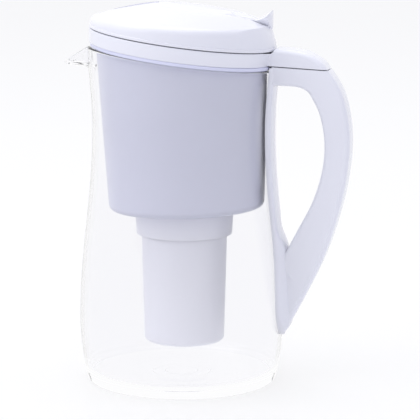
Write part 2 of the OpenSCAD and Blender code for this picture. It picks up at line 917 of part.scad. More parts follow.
jug();
handle_strap();
handle_shell();
handle_insert();
handle_screws();
hopper();
cartridge_head();
cartridge_seal();
inlet_cap();
cartridge_body();
top_felt();
carbon_bed();
middle_felt();
resin_bed();
lower_felt();
mineral_bed();
bottom_felt();
lid_collar();
flip_shell();
flip_liner();
hinge_pin();
lid_badge();
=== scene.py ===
import math

import bmesh
import bpy
import numpy as np
from mathutils import Matrix, Vector


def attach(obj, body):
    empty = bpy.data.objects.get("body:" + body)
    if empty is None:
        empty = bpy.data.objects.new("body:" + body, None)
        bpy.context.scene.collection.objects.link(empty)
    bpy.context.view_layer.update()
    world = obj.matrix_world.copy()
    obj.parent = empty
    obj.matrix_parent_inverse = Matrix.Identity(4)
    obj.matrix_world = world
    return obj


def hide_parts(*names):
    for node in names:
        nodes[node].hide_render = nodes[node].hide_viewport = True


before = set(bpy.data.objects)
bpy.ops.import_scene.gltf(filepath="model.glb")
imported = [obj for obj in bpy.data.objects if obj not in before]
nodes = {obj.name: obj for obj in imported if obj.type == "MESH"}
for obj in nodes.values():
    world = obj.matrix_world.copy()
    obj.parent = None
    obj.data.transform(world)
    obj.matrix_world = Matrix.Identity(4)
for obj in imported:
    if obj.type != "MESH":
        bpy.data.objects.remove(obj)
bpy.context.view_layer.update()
mm = 0.001  # the pieces' sizes are in mm and degrees, places of camera and lamps in metres

# Frames of the leaning rim and of the lid on it, with Z along the rim's axis
rim = {"height": 231.6, "tilt": 7.2, "lidBack": 0.9, "lidUp": 13}
rimTilt = math.radians(rim["tilt"])
rimSlope = math.tan(rimTilt)
rimMatrix = Matrix.Translation((0, 0, rim["height"] * mm)) @ Matrix.Rotation(rimTilt, 4, "Y")
lidMatrix = rimMatrix @ Matrix.Translation((-rim["lidBack"] * mm, 0, rim["lidUp"] * mm))


def smoothMin(a, b, k):
    h = np.clip(0.5 + 0.5 * (b - a) / k, 0, 1)
    return b * (1 - h) + a * h - k * h * (1 - h)


def smoothMax(a, b, k):
    return -smoothMin(-np.asarray(a, float), -np.asarray(b, float), k)


def ease(t):
    t = np.clip(t, 0, 1)
    return t * t * (3 - 2 * t)


# The jug's round outline: foot, belly, waist and mouth
outline = {"foot": 66.8, "belly": 72.6, "bellyZ": 45, "curve": 1.9,
           "waist": 63.1, "waistZ": 182, "mouth": 66.3, "mouthZ": 242}


def jugRadius(z):
    z = np.asarray(z, float)
    bellyZ, waistZ = outline["bellyZ"], outline["waistZ"]
    belly, waist = outline["belly"], outline["waist"]
    fall = np.clip((bellyZ - z) / bellyZ, 0, 1)
    low = belly - (belly - outline["foot"]) * np.power(fall, outline["curve"])
    mid = (belly + waist) / 2 + (belly - waist) / 2 * np.cos(np.pi * (z - bellyZ) / (waistZ - bellyZ))
    rise = np.clip((z - waistZ) / (outline["mouthZ"] - waistZ), 0, 1)
    high = waist + (outline["mouth"] - waist) / 2 * (1 - np.cos(np.pi * rise))
    return np.where(z < bellyZ, low, np.where(z < waistZ, mid, high))


# Faces over a grid of points: rows run along, columns go round
def gridFaces(rows, cols, closeRows=False):
    faces = []
    for i in range(rows if closeRows else rows - 1):
        for j in range(cols):
            k, m = (i + 1) % rows, (j + 1) % cols
            faces.append((i * cols + j, i * cols + m, k * cols + m, k * cols + j))
    return faces


# The two faces that close a tube's ends
def endFaces(rows, cols):
    return [tuple(range(cols))[::-1], tuple(range((rows - 1) * cols, rows * cols))]


def makeObject(name, points, faces, sharp=35, matrix=None):
    mesh = bpy.data.meshes.new(name)
    mesh.from_pydata([tuple(p) for p in np.asarray(points) * mm], [], faces)
    bm = bmesh.new()
    bm.from_mesh(mesh)
    bmesh.ops.remove_doubles(bm, verts=bm.verts, dist=1e-6)
    bmesh.ops.recalc_face_normals(bm, faces=bm.faces)
    bm.to_mesh(mesh)
    bm.free()
    if matrix is not None:
        mesh.transform(matrix)
    shade(mesh, sharp)
    obj = bpy.data.objects.new(name, mesh)
    bpy.context.scene.collection.objects.link(obj)
    return obj


def shade(mesh, sharp):
    for poly in mesh.polygons:
        poly.use_smooth = True
    mesh.set_sharp_from_angle(angle=math.radians(sharp))


# Turns a profile of (radius, height) points round Z
def lathe(name, profile, sides=192, matrix=None, sharp=35, closed=True):
    profile = np.asarray(profile, float)
    angles = np.linspace(0, 2 * np.pi, sides, endpoint=False)
    points = np.empty((len(profile), sides, 3))
    points[:, :, 0] = profile[:, :1] * np.cos(angles)
    points[:, :, 1] = profile[:, :1] * np.sin(angles)
    points[:, :, 2] = profile[:, 1:]
    return makeObject(name, points.reshape(-1, 3), gridFaces(len(profile), sides, closed), sharp, matrix)


def arc(cx, cz, r, a0, a1, n=6):
    angles = np.radians(np.linspace(a0, a1, n + 1))
    return [(cx + r * math.cos(a), cz + r * math.sin(a)) for a in angles]


def combine(obj, cutter, operation="DIFFERENCE", sharp=35):
    modifier = obj.modifiers.new("cut", "BOOLEAN")
    modifier.operation = operation
    modifier.object = cutter
    modifier.solver = "MANIFOLD"
    bpy.context.view_layer.update()
    graph = bpy.context.evaluated_depsgraph_get()
    mesh = bpy.data.meshes.new_from_object(obj.evaluated_get(graph))
    obj.modifiers.remove(modifier)
    obj.data = mesh
    bpy.data.objects.remove(cutter)
    shade(mesh, sharp)
    return obj


# Softens the edges that are sharper than an angle
def soften(obj, width, angle=40, segments=2):
    modifier = obj.modifiers.new("edges", "BEVEL")
    modifier.width = width * mm
    modifier.segments = segments
    modifier.limit_method = "ANGLE"
    modifier.angle_limit = math.radians(angle)
    return obj


def block(name, low, high, matrix=None):
    points = [(x, y, z) for z in (low[2], high[2]) for y in (low[1], high[1]) for x in (low[0], high[0])]
    faces = [(0, 1, 3, 2), (4, 6, 7, 5), (0, 4, 5, 1), (2, 3, 7, 6), (0, 2, 6, 4), (1, 5, 7, 3)]
    return makeObject(name, points, faces, 35, matrix)


def rod(name, r, half, matrix, sides=96):
    turn = Matrix.Rotation(math.radians(90), 4, "X")
    profile = [(0, -half), (r, -half), (r, half), (0, half)]
    return lathe(name, profile, sides, matrix @ turn, 35, False)


def nodeTree(name):
    material = bpy.data.materials.new(name)
    material.use_nodes = True
    tree = material.node_tree
    tree.nodes.clear()
    out = tree.nodes.new("ShaderNodeOutputMaterial")
    shader = tree.nodes.new("ShaderNodeBsdfPrincipled")
    tree.links.new(shader.outputs[0], out.inputs["Surface"])
    coord = tree.nodes.new("ShaderNodeTexCoord")
    return material, tree, shader, coord


def noise(tree, coord, scale, detail=3, rough=0.5):
    node = tree.nodes.new("ShaderNodeTexNoise")
    node.inputs["Scale"].default_value = scale
    node.inputs["Detail"].default_value = detail
    node.inputs["Roughness"].default_value = rough
    tree.links.new(coord.outputs["Object"], node.inputs["Vector"])
    return node


def ramp(tree, source, low, high, a=0.35, b=0.65):
    node = tree.nodes.new("ShaderNodeValToRGB")
    node.color_ramp.elements[0].position = a
    node.color_ramp.elements[1].position = b
    node.color_ramp.elements[0].color = (*low, 1)
    node.color_ramp.elements[1].color = (*high, 1)
    tree.links.new(source, node.inputs[0])
    return node


def bump(tree, shader, source, strength, distance):
    node = tree.nodes.new("ShaderNodeBump")
    node.inputs["Strength"].default_value = strength
    node.inputs["Distance"].default_value = distance
    tree.links.new(source, node.inputs["Height"])
    tree.links.new(node.outputs[0], shader.inputs["Normal"])
    return node


plasticBend = 1.49  # refraction index


# Moulded plastic: slow colour drift, patchy gloss and a fine orange peel
def plastic(name, spec):
    material, tree, shader, coord = nodeTree(name)
    base = np.array(spec["colour"])
    drift = noise(tree, coord, 9, 2)
    colour = ramp(tree, drift.outputs[0], base * (1 - spec.get("drift", 0.02)), base)
    tree.links.new(colour.outputs[0], shader.inputs["Base Color"])
    patch = noise(tree, coord, 45, 3)
    rough = spec["rough"]
    gloss = ramp(tree, patch.outputs[0], (rough * 0.88,) * 3, (rough * 1.12,) * 3)
    tree.links.new(gloss.outputs[0], shader.inputs["Roughness"])
    shader.inputs["IOR"].default_value = plasticBend
    shader.inputs["Coat Weight"].default_value = spec.get("coat", 0)
    shader.inputs["Coat Roughness"].default_value = 0.06
    peel = noise(tree, coord, spec.get("grain", 900), 2)
    bump(tree, shader, peel.outputs[0], spec.get("bump", 0.05), 0.0002)
    return material


# Clear plastic: faint flow lines and a few soft smears
def clearPlastic(name, spec):
    material, tree, shader, coord = nodeTree(name)
    shader.inputs["Transmission Weight"].default_value = 1
    rays = tree.nodes.new("ShaderNodeLightPath")  # the clear plastic lets most of the light through
    through = tree.nodes.new("ShaderNodeMapRange")
    through.inputs["To Min"].default_value = 1
    through.inputs["To Max"].default_value = spec["shade"]
    tree.links.new(rays.outputs["Is Shadow Ray"], through.inputs["Value"])
    tree.links.new(through.outputs[0], shader.inputs["Alpha"])
    shader.inputs["IOR"].default_value = spec["bend"]
    tone = noise(tree, coord, 7, 2)
    base = np.array(spec["colour"])
    colour = ramp(tree, tone.outputs[0], base * 0.995, base)
    tree.links.new(colour.outputs[0], shader.inputs["Base Color"])
    smear = noise(tree, coord, 22, 4)
    rough = ramp(tree, smear.outputs[0], (spec["rough"],) * 3, (spec["rough"] * 2.5,) * 3, 0.55, 0.8)
    tree.links.new(rough.outputs[0], shader.inputs["Roughness"])
    flow = noise(tree, coord, 14, 1)
    bump(tree, shader, flow.outputs[0], 0.03, 0.001)
    return material


# Pressed fibres
def felt(name, colour):
    material, tree, shader, coord = nodeTree(name)
    base = np.array(colour)
    fibres = noise(tree, coord, 700, 6, 0.7)
    tone = ramp(tree, fibres.outputs[0], base * 0.75, base)
    tree.links.new(tone.outputs[0], shader.inputs["Base Color"])
    shader.inputs["Roughness"].default_value = 0.95
    shader.inputs["Sheen Weight"].default_value = 0.3
    bump(tree, shader, fibres.outputs[0], 0.6, 0.0006)
    return material


# Loose grains, size in metres
def granules(name, low, high, size):
    material, tree, shader, coord = nodeTree(name)
    cells = tree.nodes.new("ShaderNodeTexVoronoi")
    cells.inputs["Scale"].default_value = 1 / size
    tree.links.new(coord.outputs["Object"], cells.inputs["Vector"])
    # Each grain is lighter at its middle and darker towards its edge: painted shade in the gaps between the
    # grains
    tone = ramp(tree, cells.outputs["Distance"], high, low, 0.1, 0.6)
    tree.links.new(tone.outputs[0], shader.inputs["Base Color"])
    shader.inputs["Roughness"].default_value = 0.7
    node = bump(tree, shader, cells.outputs["Distance"], 0.8, size * 0.4)
    node.invert = True
    return material


# Turned steel with fine lines
def steel(name):
    material, tree, shader, coord = nodeTree(name)
    shader.inputs["Metallic"].default_value = 1
    stretch = tree.nodes.new("ShaderNodeMapping")
    stretch.inputs["Scale"].default_value = (1, 40, 1)
    tree.links.new(coord.outputs["Object"], stretch.inputs["Vector"])
    lines = tree.nodes.new("ShaderNodeTexNoise")
    lines.inputs["Scale"].default_value = 120
    tree.links.new(stretch.outputs[0], lines.inputs["Vector"])
    tone = ramp(tree, lines.outputs[0], (0.5, 0.51, 0.53), (0.72, 0.73, 0.75))
    tree.links.new(tone.outputs[0], shader.inputs["Base Color"])
    rough = ramp(tree, lines.outputs[0], (0.22,) * 3, (0.38,) * 3)
    tree.links.new(rough.outputs[0], shader.inputs["Roughness"])
    bump(tree, shader, lines.outputs[0], 0.15, 0.0001)
    return material


def paint(obj, material):
    obj.data.materials.clear()
    obj.data.materials.append(material)
    for poly in obj.data.polygons:
        poly.material_index = 0


def place(obj, material, body, slot, *replaced):
    paint(obj, material)
    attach(obj, body)
    if replaced:
        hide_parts(*replaced)


print("frame loaded")

# Camera
camera = {"azimuth": 12, "elevation": 9.33, "distance": 1.5, "target": (0, 0, 0.135),
          "pixel": (181.7, 191.6), "picture": 420, "metresPerPixel": 0.00071, "sensor": 36}
az, el = math.radians(camera["azimuth"]), math.radians(camera["elevation"])
away = Vector((math.sin(az) * math.cos(el), -math.cos(az) * math.cos(el), math.sin(el)))
camData = bpy.data.cameras.new("camera")
camData.sensor_width = camera["sensor"]
camData.lens = camera["sensor"] * camera["distance"] / camera["metresPerPixel"] / camera["picture"]
camData.shift_x = (camera["picture"] / 2 - camera["pixel"][0]) / camera["picture"]
camData.shift_y = -(camera["picture"] / 2 - camera["pixel"][1]) / camera["picture"]
camData.clip_end = 20
cam = bpy.data.objects.new("camera", camData)
cam.location = Vector(camera["target"]) + away * camera["distance"]
cam.rotation_euler = away.to_track_quat("Z", "Y").to_euler()
bpy.context.scene.collection.objects.link(cam)
bpy.context.scene.camera = cam

# Jug
jug = {"wall": 2.3, "floor": 6.5, "foot": 66.9, "footRound": 1.9, "inRound": 8, "bodyTop": 213,
       "colour": (0.968, 0.968, 0.985), "rough": 0.01, "shade": 0.25, "bend": 1.33}
spout = {"low": 219, "rise": 5.5, "root": 64, "reach": 85, "tip": 2.6, "width": 16, "start": 50,
         "lip": 239.5, "lipStart": 63, "lipSlope": 0.42, "lipCurve": 0.0082}


# Distance from the jug's axis to the spout's skin, along a ray at an angle from -X
def spoutRay(phi, z, inset):
    t = np.clip((z - inset - spout["low"]) / spout["rise"], 0, 1)
    tip = spout["root"] + (spout["reach"] - spout["tip"] - spout["root"]) * t ** 3
    end = spout["tip"] * t
    wide = spout["width"] * np.sqrt(np.clip(1 - (1 - t) ** 2, 0, 1))
    low, high = np.full(phi.shape, 20.0), np.full(phi.shape, 90.0)
    for step in range(30):
        r = (low + high) / 2
        x, y = r * np.cos(phi), np.abs(r * np.sin(phi))
        line = wide + (end - wide) * (x - spout["start"]) / np.maximum(tip - spout["start"], 1)
        rounding = np.sqrt(np.clip(end ** 2 - (x - tip) ** 2, 0, None))
        half = np.where(x <= tip, line, np.where(x < tip + end, rounding, -1)) - inset
        inside = y <= half
        low, high = np.where(inside, r, low), np.where(inside, high, r)
    return np.where(t > 0.01, low, 0)


def jugSkin(theta, z, inset):
    phi = np.abs(np.mod(theta, 2 * np.pi) - np.pi)
    skin = jugRadius(z) - inset
    return np.where(phi < 0.6, smoothMax(skin, spoutRay(phi, z, inset * 0.8), 1.6), skin)


# Height of the rim, which falls away along the spout's lip
def rimTop(x):
    plane = rim["height"] - x * rimSlope
    d = -spout["lipStart"] - x
    lip = spout["lip"] - spout["lipSlope"] * d - spout["lipCurve"] * d * np.abs(d)
    return np.where(x < -60, smoothMin(plane, lip, 0.8), plane)


def buildJug():
    side = np.radians(np.concatenate([np.arange(-150, 150, 1.5), np.arange(150, 210, 0.4)]))
    cols = len(side)
    top = np.full(cols, 231.0)
    for step in range(40):  # the rim's height and the skin's reach settle on each other
        top = 0.5 * top + 0.5 * rimTop(jugSkin(side, top, 0) * np.cos(side))
    rows = []

    def addRow(r, z):
        z = np.broadcast_to(z, cols)
        rows.append(np.stack([r * np.cos(side), r * np.sin(side), z], -1))

    for r in (0.01, 8, 11.6, 12, 12.4, 19.6, 20, 20.4, 40, 60):  # faint mould rings below
        addRow(np.full(cols, float(r)), 0.25 if r in (12, 20) else 0.0)
    edge = jug["footRound"]
    for r, z in arc(jug["foot"] - edge, edge, edge, -85, -10, 6):
        addRow(np.full(cols, r), z)
    for z in np.arange(4, jug["bodyTop"], 3.0):
        addRow(jugSkin(side, np.full(cols, z), 0), z)
    bead = 1.1  # height of the rim's rounding
    rises = [jug["bodyTop"] + (top - bead - jug["bodyTop"]) * t for t in np.linspace(0, 1, 46)]
    for z in rises:
        addRow(jugSkin(side, z, 0), z)
    for a in np.radians((25, 50, 75, 105, 130, 155)):
        z = top - bead + bead * math.sin(a)
        addRow(jugSkin(side, z, jug["wall"] * (1 - math.cos(a)) / 2), z)
    for z in rises[::-1]:
        addRow(jugSkin(side, z, jug["wall"]), z)
    for z in np.arange(210, 17, -3.0):
        addRow(jugRadius(z) - jug["wall"] + np.zeros(cols), z)
    fillet = jug["inRound"]
    corner = jug["floor"] + fillet
    for r, z in arc(float(jugRadius(corner)) - jug["wall"] - fillet, corner, fillet, 0, -85, 10):
        addRow(np.full(cols, r), z)
    for r in (52, 40, 30.5, 30, 29.5, 20.5, 20, 19.5, 10, 0.01):
        addRow(np.full(cols, float(r)), jug["floor"] + (0.2 if r in (30, 20) else 0.0))
    return makeObject("clearJug", np.concatenate(rows), gridFaces(len(rows), cols), 60)


# Closes the small holes at the axis
def closeEnds(obj):
    bm = bmesh.new()
    bm.from_mesh(obj.data)
    bmesh.ops.holes_fill(bm, edges=[e for e in bm.edges if e.is_boundary], sides=0)
    bmesh.ops.recalc_face_normals(bm, faces=bm.faces)
    bm.to_mesh(obj.data)
    bm.free()


clearJug = buildJug()
closeEnds(clearJug)
place(clearJug, clearPlastic("clearPlastic", jug), "jug_body", "clear_jug", "jug")
print("jug done")

# White mouldings
white = {"colour": (0.89, 0.895, 0.94), "rough": 0.24, "coat": 0.2}
satin = {"colour": (0.88, 0.885, 0.93), "rough": 0.38, "grain": 1400, "bump": 0.08}
whiteGloss = plastic("whiteGloss", white)
whiteSatin = plastic("whiteSatin", satin)

# Grip, with its outer x and z and inner x and z along the way
gripSize = {"half": 12, "footHalf": 8, "narrowTop": 130, "narrowLength": 95, "wall": 2.5, "recess": 2.9,
            "outerRound": 4.2, "innerRound": 2.6, "play": 0.06, "insertLow": 0.3, "insertRound": 0.8,
            "lift": 1.5, "heelTop": 118, "heelLength": 14, "heelLift": 2.2}
stations = np.array([
    (58, 238.6, 58, 213.4), (74, 238.8, 74, 213.2), (87, 237, 84.5, 212.4),
    (95.7, 233.4, 90.8, 209.6), (103.3, 226.9, 94.4, 204.6), (115.4, 207, 100, 192.4),
    (120.6, 179, 103.1, 174), (118.9, 150.8, 101.6, 154), (112.8, 122.3, 95.2, 132.6),
    (103.4, 93.3, 84.6, 111.6), (89.5, 63.5, 70.5, 84), (77, 40, 60, 58)], float)


# Smooth curve through the stations
def smoothStations(per):
    out = []
    last = len(stations) - 1
    for i in range(last):
        a, b, c, d = (stations[max(0, min(last, i + k))] for k in (-1, 0, 1, 2))
        for t in np.linspace(0, 1, per, endpoint=False):
            bow = (2 * a - 5 * b + 4 * c - d) * t * t / 2
            out.append(b + (c - a) * t / 2 + bow + (3 * b - a - 3 * c + d) * t ** 3 / 2)
    return np.array(out + [stations[-1]])


# Half the grip's width, which narrows to the foot
def gripHalf(z):
    share = np.clip((gripSize["narrowTop"] - z) / gripSize["narrowLength"], 0, 1)
    return gripSize["half"] - (gripSize["half"] - gripSize["footHalf"]) * share


def sweep(name, keep, loopOf, sharp=35):
    rows = []
    for xo, zo, xi, zi in keep:
        depth = math.hypot(xi - xo, zi - zo)
        d = np.array([xi - xo, zi - zo]) / depth
        loop = np.array(loopOf(depth, xo, zo, xi, zi))
        x, z = xo + d[0] * loop[:, 0], zo + d[1] * loop[:, 0]
        rows.append(np.stack([x, loop[:, 1], z], -1))
    cols = len(rows[0])
    points = np.concatenate(rows)
    return makeObject(name, points, gridFaces(len(rows), cols) + endFaces(len(rows), cols), sharp)


# Pushes points that would lie inside the jug out to a depth in its strap, which is thicker below
def keepOut(obj):
    for v in obj.data.vertices:
        p = v.co / mm
        r = math.hypot(p.x, p.y)
        share = min(1, max(0, (gripSize["heelTop"] - p.z) / gripSize["heelLength"]))
        least = float(jugRadius(p.z)) + gripSize["lift"] + gripSize["heelLift"] * share
        if r < least:
            v.co.x = math.sqrt(max(least ** 2 - p.y ** 2, 1)) * mm


def cutPlane(obj, origin, normal):
    bm = bmesh.new()
    bm.from_mesh(obj.data)
    geometry = bm.verts[:] + bm.edges[:] + bm.faces[:]
    spot = Vector(origin) * mm
    cut = bmesh.ops.bisect_plane(bm, geom=geometry, plane_co=spot, plane_no=normal, clear_outer=True)
    edges = [e for e in cut["geom_cut"] if isinstance(e, bmesh.types.BMEdge)]
    bmesh.ops.triangle_fill(bm, edges=edges, use_beauty=True)
    bmesh.ops.recalc_face_normals(bm, faces=bm.faces)
    bm.to_mesh(obj.data)
    bm.free()
    shade(obj.data, 35)


# Slit between the lid's tail and the grip
slit = {"z": 229.9, "tilt": 2.9, "gap": 0.7}
slitTilt = math.radians(slit["tilt"])
slitNormal = Vector((math.sin(slitTilt), 0, math.cos(slitTilt)))


def slitPoint(lift):
    return Vector((0, 0, slit["z"])) + slitNormal * lift


perStation = 12
path = smoothStations(perStation)


# Sections of the grip, as points of depth from the outer side and y
def shellLoop(depth, xo, zo, xi, zi):
    half = float(gripHalf((zo + zi) / 2))
    outer = min(gripSize["outerRound"], depth * 0.3)
    inner = min(gripSize["innerRound"], half - gripSize["innerRound"])
    loop = arc(outer, half - outer, outer, 180, 90, 8)
    loop += arc(depth - inner, half - inner, inner, 90, 0, 6)
    loop += [(depth - d, half - gripSize["wall"]) for d in (0, gripSize["recess"])]
    return loop + [(s, -y) for s, y in loop[::-1]]


def insertLoop(depth, xo, zo, xi, zi):
    half = float(gripHalf((zo + zi) / 2)) - gripSize["wall"] - gripSize["play"]
    low, edge = gripSize["insertLow"], gripSize["insertRound"]
    loop = arc(depth - gripSize["recess"] + 0.1, half - 0.1, 0.1, 180, 90, 1)
    loop += arc(depth - low - edge, half - edge, edge, 90, 0, 4)
    return loop + [(s, -y) for s, y in loop[::-1]]


grip = sweep("gripShell", path, shellLoop)
cutPlane(grip, slitPoint(-slit["gap"] / 2), slitNormal)
keepOut(grip)
place(soften(grip, 0.35, 50), whiteGloss, "jug_body", "white_gloss", "handle_shell")
insert = sweep("gripInsert", path, insertLoop)
cutPlane(insert, slitPoint(-slit["gap"] / 2), slitNormal)
keepOut(insert)
place(insert, whiteSatin, "jug_body", "white_satin", "handle_insert")
print("grip done")

# Strap on the jug's back, with its shield-shaped foot
strap = {"low": 35, "footLength": 22, "footHalf": 16.5, "half": 13, "footFlat": 8.8, "flat": 11.2,
         "heel": 7, "heelTop": 97, "thick": 3.2, "edge": 2.4, "screws": (84, 217)}


def buildStrap():
    low, length = strap["low"], strap["footLength"]
    zs = np.concatenate([low + length * (1 - np.cos(np.radians(np.linspace(4, 90, 24)))),
                         np.arange(60, 224, 3.0), [224.5, 225.6]])
    shares = np.concatenate([[-1, -0.985, -0.95], np.linspace(-0.88, 0.88, 33), [0.95, 0.985, 1]])
    outer, inner = [], []
    for z in zs:
        foot = math.sqrt(max(0, 1 - (1 - min(1, (z - low) / length)) ** 2))
        narrow = float(ease((z - low - length) / 50))
        half = strap["footHalf"] * foot + (strap["half"] - strap["footHalf"]) * narrow
        wide = float(ease((z - strap["heelTop"] + 1) / 30))
        flat = strap["footFlat"] + (strap["flat"] - strap["footFlat"]) * wide
        thin = float(ease((z - strap["heelTop"]) / 16))
        thick = strap["heel"] + (strap["thick"] - strap["heel"]) * thin
        thick *= 0.35 + 0.65 * float(ease((z - low) / 9))
        edge = min(thick, strap["edge"])
        y = half * shares
        side = np.clip((np.abs(y) - flat) / max(half - flat, 0.5), 0, 1)
        lift = thick + (edge - thick) * side
        lift = np.where(np.abs(shares) > 0.99, 0.9, np.where(np.abs(shares) > 0.97, edge * 0.75, lift))
        base = float(jugRadius(z))
        bend = np.sqrt((base + 0.06) ** 2 - y ** 2)
        outer.append(np.stack([np.sqrt((base + lift) ** 2 - y ** 2), y, np.full(len(y), z)], -1))
        inner.append(np.stack([bend, y, np.full(len(y), z)], -1))
    loops = [np.concatenate([o, i[::-1]]) for o, i in zip(outer, inner)]
    cols = len(loops[0])
    faces = gridFaces(len(loops), cols) + endFaces(len(loops), cols)
    return makeObject("handleStrap", np.concatenate(loops), faces, 40)


place(buildStrap(), whiteGloss, "jug_body", "white_gloss", "handle_strap")
for z in strap["screws"]:  # clear pads that take the screws
    r = float(jugRadius(z))
    turn = Matrix.Translation((r * mm, 0, z * mm)) @ Matrix.Rotation(math.radians(90), 4, "Y")
    pad = lathe("screwPad", [(1.3, -0.3), (3.2, -0.3), (3.2, 2.2), (2.9, 2.5), (1.3, 2.5)], 48, turn)
    pad.name = "screwPad%d" % z
    place(pad, whiteSatin, "jug_body", "clear_jug")
print("strap done")

# Hopper
# The hopper's colour is tinted lilac: painted shade, for the shade the hopper lies in inside the clear jug
hopper = {"colour": (0.8, 0.815, 0.98), "rough": 0.33, "grain": 1100, "bump": 0.06, "drift": 0.03,
          "back": 3.8, "low": 124, "tilt": -1.8, "foot": 55, "flare": 5.1, "length": 112, "wall": 1.9,
          "round": 5, "bore": 17.2}
hopperMatrix = Matrix.Translation((hopper["back"] * mm, 0, hopper["low"] * mm))
hopperMatrix = hopperMatrix @ Matrix.Rotation(math.radians(hopper["tilt"]), 4, "Y")


def hopperRadius(z):
    return hopper["foot"] + hopper["flare"] * z / hopper["length"]


def buildHopper():
    sides = 192
    side = np.linspace(0, 2 * np.pi, sides, endpoint=False)

    def ring(matrix, r, z):
        x, y = r * np.cos(side), r * np.sin(side)
        p = np.stack([x, y, np.broadcast_to(z, sides)], -1) * mm
        turn = np.array(matrix)
        return (p @ turn[:3, :3].T + turn[:3, 3]) / mm

    corner = hopper["round"]
    rows = [ring(hopperMatrix, hopper["bore"], -0.4)]
    rows += [ring(hopperMatrix, r, 0.0) for r in (36, 44)]
    rows += [ring(hopperMatrix, r, z) for r, z in arc(50.2, corner, corner, -90, 0, 8)]
    limit = ring(rimMatrix, 60.4, -0.3)[:, 2] - hopper["low"]
    heights = [corner + t * (limit - corner) for t in np.linspace(0.05, 1, 40)]
    rows += [ring(hopperMatrix, hopperRadius(z), z) for z in heights]
    flange = [(62.5, -0.01), (64.5, 0.02), (64.9, 0.4), (64.9, 2.2), (64.6, 2.56), (60, 2.6), (59.2, 2.3)]
    rows += [ring(rimMatrix, r, z) for r, z in flange]
    rows += [ring(hopperMatrix, hopperRadius(z) - hopper["wall"], z) for z in heights[::-1]]
    rows += [ring(hopperMatrix, r, z) for r, z in arc(50.4, 6.0, 3, 0, -90, 6)]
    rows += [ring(hopperMatrix, r, z) for r, z in ((40, 3), (36.5, 3.2), (36, 3.5), (hopper["bore"], 3.6))]
    return makeObject("hopperTank", np.concatenate(rows), gridFaces(len(rows), sides, True), 40)


tank = buildHopper()
notch = block("notchCut", (-90, -18, -0.2), (-58.5, 18, 8), rimMatrix)  # where the water runs to the spout
tank = combine(tank, notch, "DIFFERENCE", 40)
place(tank, plastic("hopperPlastic", hopper), "hopper_body", "hopper_white", "hopper")
print("hopper done")

# Cartridge
# The cartridge's colour is tinted lilac: painted shade, for the shade the cartridge lies in inside the clear
# jug
cartridge = {"colour": (0.9, 0.905, 1.0), "rough": 0.4, "grain": 1500, "bump": 0.07, "back": 2,
             "low": 105.5, "foot": 34, "shoulder": 122, "radius": 34.9, "inner": 31.9, "roof": 119.5,
             "top": 131, "neck": 17, "bore": 15.2}
filterPlastic = plastic("filterPlastic", cartridge)


def buildHead():
    low, shoulder, roof, top = (cartridge[key] for key in ("low", "shoulder", "roof", "top"))
    neck, bore, inner = (cartridge[key] for key in ("neck", "bore", "inner"))
    profile = arc(cartridge["foot"] - 0.9, low + 0.9, 0.9, -90, -5, 4) + [(34.2, 110)]
    profile += arc(cartridge["radius"] - 1.2, shoulder - 1.2, 1.2, 0, 90, 5) + [(neck, shoulder)]
    profile += [(neck, top - 0.4), (neck - 0.4, top), (bore, top), (bore, roof)]
    profile += [(31, roof), (inner, roof - 1), (inner, low)]
    return lathe("filterHead", profile, 160, Matrix.Translation((cartridge["back"] * mm, 0, 0)))


place(buildHead(), filterPlastic, "filter_body", "filter_white", "cartridge_head")
print("cartridge done")

# Paint for the pieces that are shown as they come
seal = {"colour": (0.5, 0.51, 0.55), "rough": 0.6, "grain": 2200, "bump": 0.15}
looks = {
    "cartridge_seal": plastic("sealRubber", seal),
    "inlet_cap": filterPlastic,
    "cartridge_body": filterPlastic,
    "flip_liner": whiteSatin,
    "handle_screws": steel("steel"),
    "lid_badge": plastic("badgePlastic", {"colour": (0.7, 0.7, 0.78), "rough": 0.3, "grain": 1800}),
    "carbon_bed": granules("carbon", (0.01, 0.01, 0.012), (0.06, 0.06, 0.065), 0.0016),
    "resin_bed": granules("resin", (0.35, 0.18, 0.04), (0.8, 0.52, 0.2), 0.001),
    "mineral_bed": granules("mineral", (0.3, 0.26, 0.2), (0.72, 0.66, 0.56), 0.0022),
}
looks["hinge_pin"] = looks["handle_screws"]
feltLook = felt("felt", (0.86, 0.86, 0.82))
for name in ("top_felt", "middle_felt", "lower_felt", "bottom_felt"):
    looks[name] = feltLook
for name, look in looks.items():
    paint(nodes[name], look)
    shade(nodes[name].data, 30)
print("inner pieces painted")

# Lid: collar with its tail over the handle
lid = {"collar": 66.3, "low": -10.4, "foot": 65.1, "top": -0.35, "deck": -2.55, "skirt": 57, "skirtIn": 54.8,
       "skirtLow": -15, "fill": 48.5, "shift": 4, "inner": 62.9, "innerFront": 58.6, "frontHalf": 21,
       "edge": 0.7, "tailRoot": 64.6}
hinge = {"x": 60.7, "z": 4, "open": 70, "pin": 1.3, "pinHalf": 9.3, "knuckle": 2.7, "middle": 6.65,
         "half": 2.35, "play": 0.3, "groove": 7.1, "grooveEnd": 4.5, "grooveHalf": 10, "grooveReach": 22}


